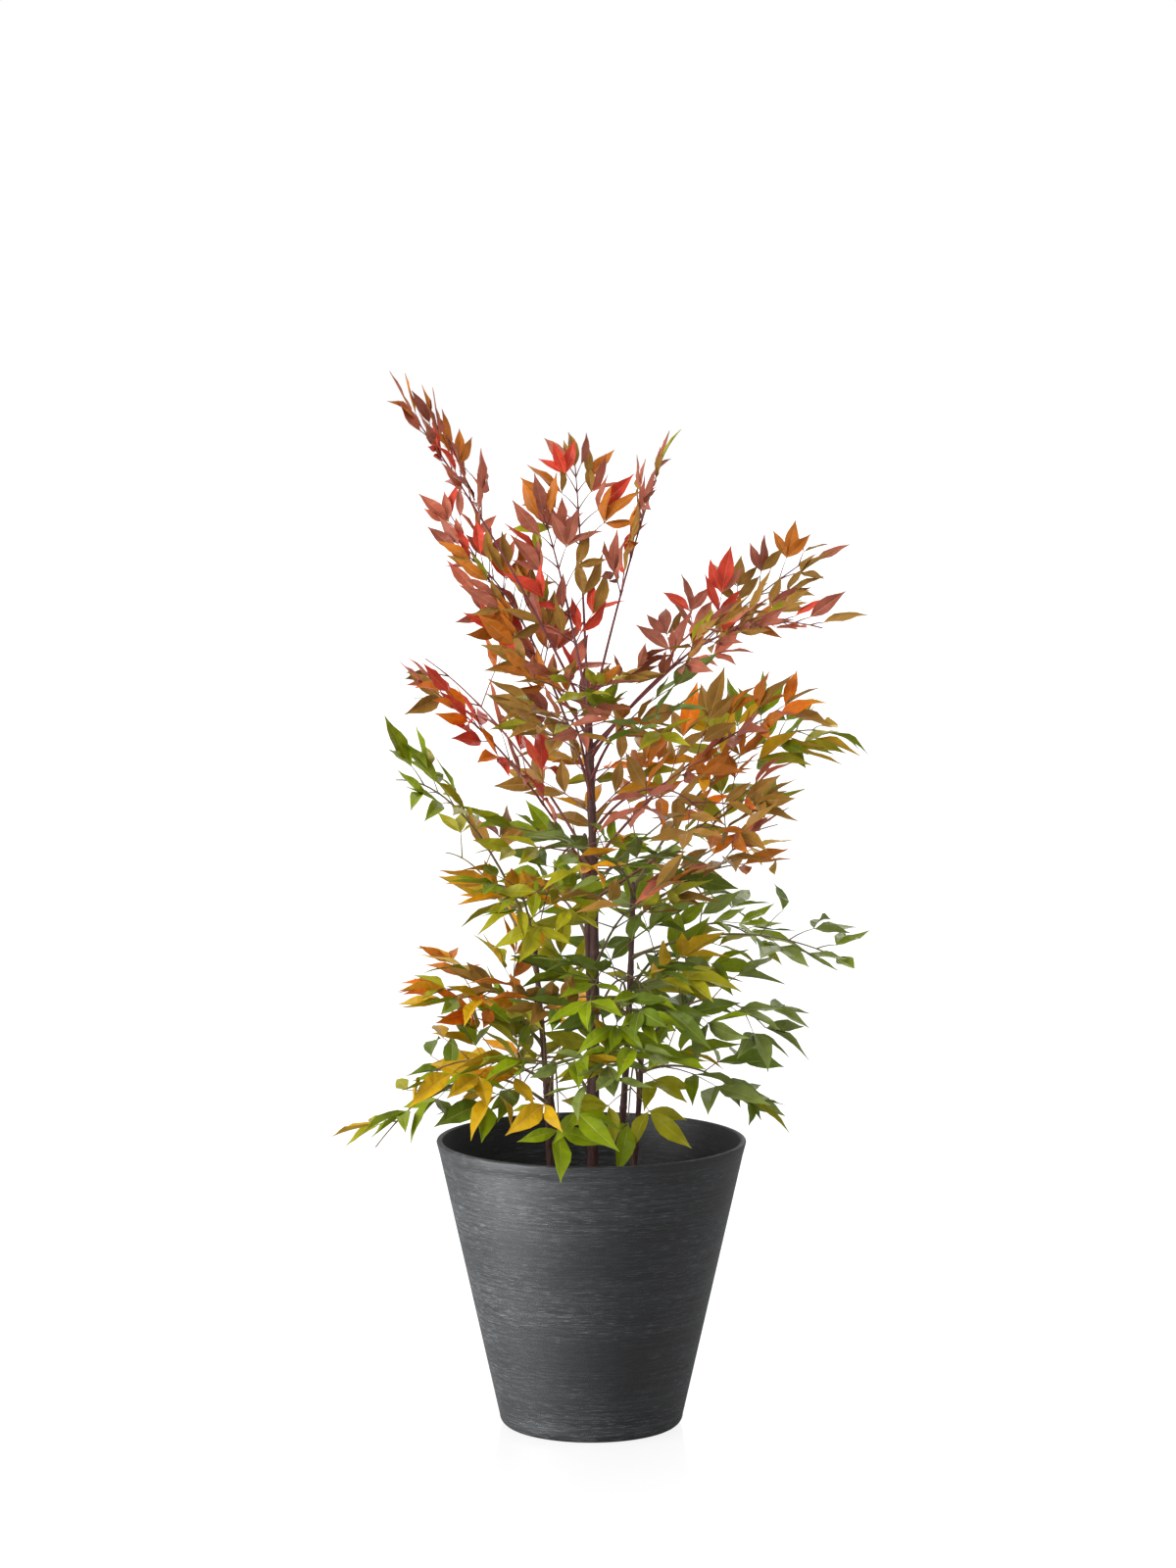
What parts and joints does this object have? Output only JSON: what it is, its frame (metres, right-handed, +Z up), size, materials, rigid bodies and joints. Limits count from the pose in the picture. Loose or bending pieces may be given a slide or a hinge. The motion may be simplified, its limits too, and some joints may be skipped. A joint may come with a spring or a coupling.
{
  "type": "potted heavenly bamboo shrub",
  "caption": "Heavenly bamboo shrub with upright canes and airy, twice-divided fronds of lance-shaped leaflets in autumn tints, standing in a tapered round planter.",
  "frame": {"origin": "centre of the pot's flat underside, on the surface it stands on", "axes": "+Z up along the pot's axis; +X to the right and -Y towards the viewer of the fuller side"},
  "size_m": [0.6602, 0.5173, 1.2553],
  "materials": {
    "pot": "satin, finely brushed",
    "soil": "rough",
    "cane": "rough bark",
    "stalk": "satin",
    "red_leaf": "satin",
    "bronze_leaf": "satin",
    "green_leaf": "satin",
    "gold_leaf": "satin"
  },
  "bodies": {
    "root": {"pot": "pot", "soil": "soil", "cane_back": "cane", "cane_left": "cane", "cane_left_short": "cane", "cane_main": "cane", "cane_right": "cane", "cane_right_short": "cane", "stalk_crown_left_high": "stalk", "stalk_crown_right": "stalk", "stalk_crown_right_low": "stalk", "stalk_middle_left": "stalk", "stalk_middle_right": "stalk", "stalk_side_right_high": "stalk", "blade_crown_back": "red_leaf", "blade_crown_centre": "red_leaf", "blade_crown_front": "red_leaf", "blade_crown_front_right": "red_leaf", "blade_crown_left_back": "red_leaf", "blade_crown_left_high": "red_leaf", "blade_crown_left_low": "red_leaf", "blade_crown_right": "red_leaf", "blade_crown_right_high": "red_leaf", "blade_crown_right_low": "red_leaf", "blade_low_back_left": "gold_leaf", "blade_low_back_right": "gold_leaf", "blade_low_front": "gold_leaf", "blade_low_front_left": "gold_leaf", "blade_low_front_middle": "gold_leaf", "blade_low_front_right": "gold_leaf", "blade_low_left": "gold_leaf", "blade_low_left_far": "gold_leaf", "blade_low_middle": "gold_leaf", "blade_low_right": "gold_leaf", "blade_low_right_front": "gold_leaf", "blade_middle_back": "bronze_leaf", "blade_middle_front": "bronze_leaf", "blade_middle_front_left": "bronze_leaf", "blade_middle_front_right": "bronze_leaf", "blade_middle_left": "bronze_leaf", "blade_middle_left_back": "bronze_leaf", "blade_middle_right": "bronze_leaf", "blade_middle_right_low": "bronze_leaf", "blade_side_back": "green_leaf", "blade_side_back_left": "green_leaf", "blade_side_back_right": "green_leaf", "blade_side_front_high": "green_leaf", "blade_side_front_left": "green_leaf", "blade_side_front_middle": "green_leaf", "blade_side_front_right": "green_leaf", "blade_side_left": "green_leaf", "blade_side_left_back": "green_leaf", "blade_side_left_front": "green_leaf", "blade_side_left_high": "green_leaf", "blade_side_left_low": "green_leaf", "blade_side_right": "green_leaf", "blade_side_right_back": "green_leaf", "blade_side_right_front": "green_leaf", "blade_side_right_high": "green_leaf", "blade_side_right_low": "green_leaf"}
  },
  "joints": []
}
